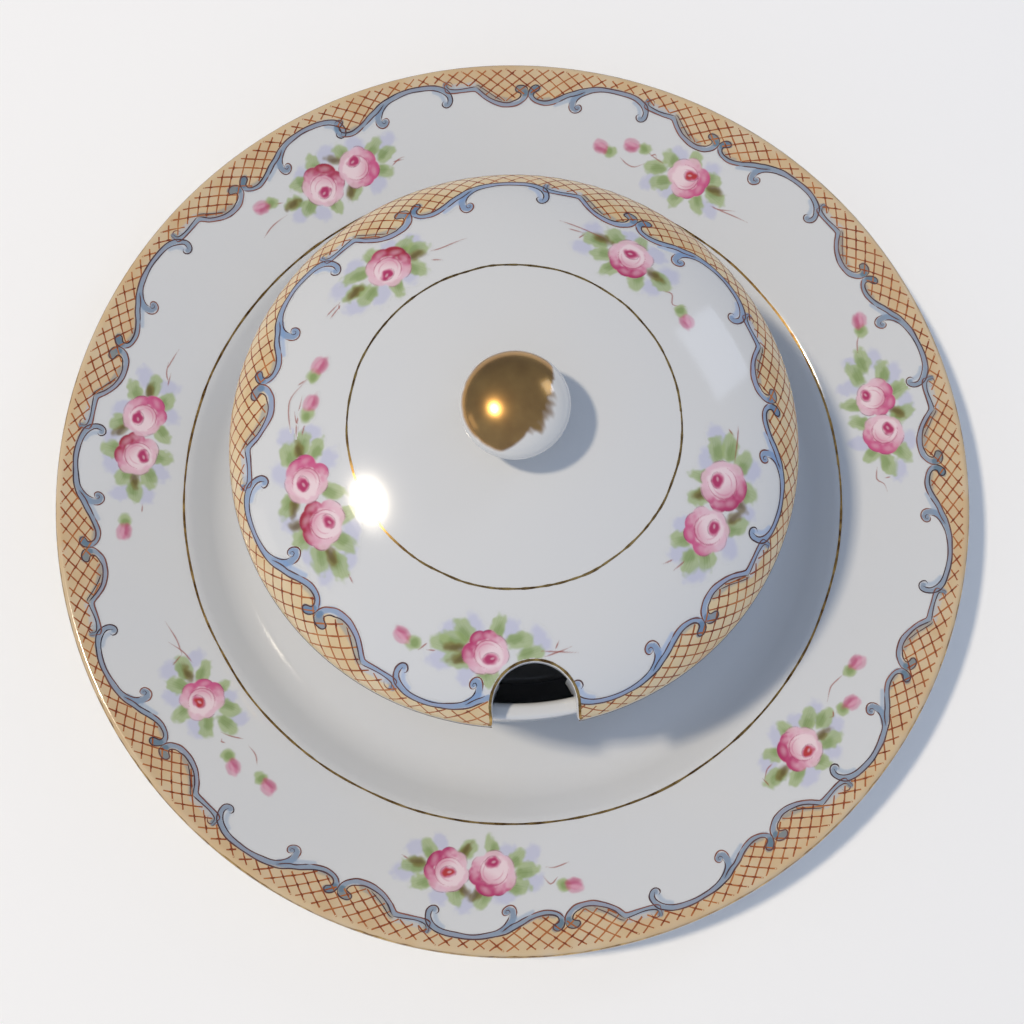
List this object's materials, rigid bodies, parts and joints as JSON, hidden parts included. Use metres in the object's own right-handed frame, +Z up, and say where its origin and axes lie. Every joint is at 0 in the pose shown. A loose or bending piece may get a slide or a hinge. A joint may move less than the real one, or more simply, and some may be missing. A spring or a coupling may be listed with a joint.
{
  "type": "butter dish",
  "caption": "Covered porcelain butter dish: a deep tub with a pierced drainer on a wide underplate, under a domed lid with a flattened gilt ball knob and a knife notch.",
  "frame": {"origin": "centre of the underplate's foot ring, on the table", "axes": "+Z up along the common axis of plate, tub and lid; the lid's knife notch faces -Y"},
  "size_m": [0.216, 0.216, 0.0919],
  "materials": {
    "plate_porcelain": "clear glossy glaze over white porcelain, with a painted border, rose sprays and gold lines",
    "tub_porcelain": "clear glossy glaze over plain white porcelain",
    "lid_porcelain": "clear glossy glaze over white porcelain, with a painted border, rose sprays and gold lines",
    "knob_gilding": "bright gold lustre fired over the glaze, rubbed through to white porcelain low on one side"
  },
  "bodies": {
    "plate": {"underplate": "plate_porcelain"},
    "tub": {"butter_tub": "tub_porcelain"},
    "drainer": {"butter_drainer": "tub_porcelain"},
    "lid": {"lid_shell": "lid_porcelain", "lid_knob": "knob_gilding"}
  },
  "joints": [
    {"name": "tub_lift", "type": "slide", "parent": "plate", "child": "tub", "axis": [0, 0, 1], "range_m": [0, 0.06]},
    {"name": "lid_lift", "type": "slide", "parent": "tub", "child": "lid", "axis": [0, 0, 1], "range_m": [0, 0.12]},
    {"name": "drainer_lift", "type": "slide", "parent": "tub", "child": "drainer", "axis": [0, 0, 1], "range_m": [0, 0.06]}
  ],
  "couplings": [
    {"joint": "drainer_lift", "follows": "lid_lift", "ratio": 0.5}
  ]
}
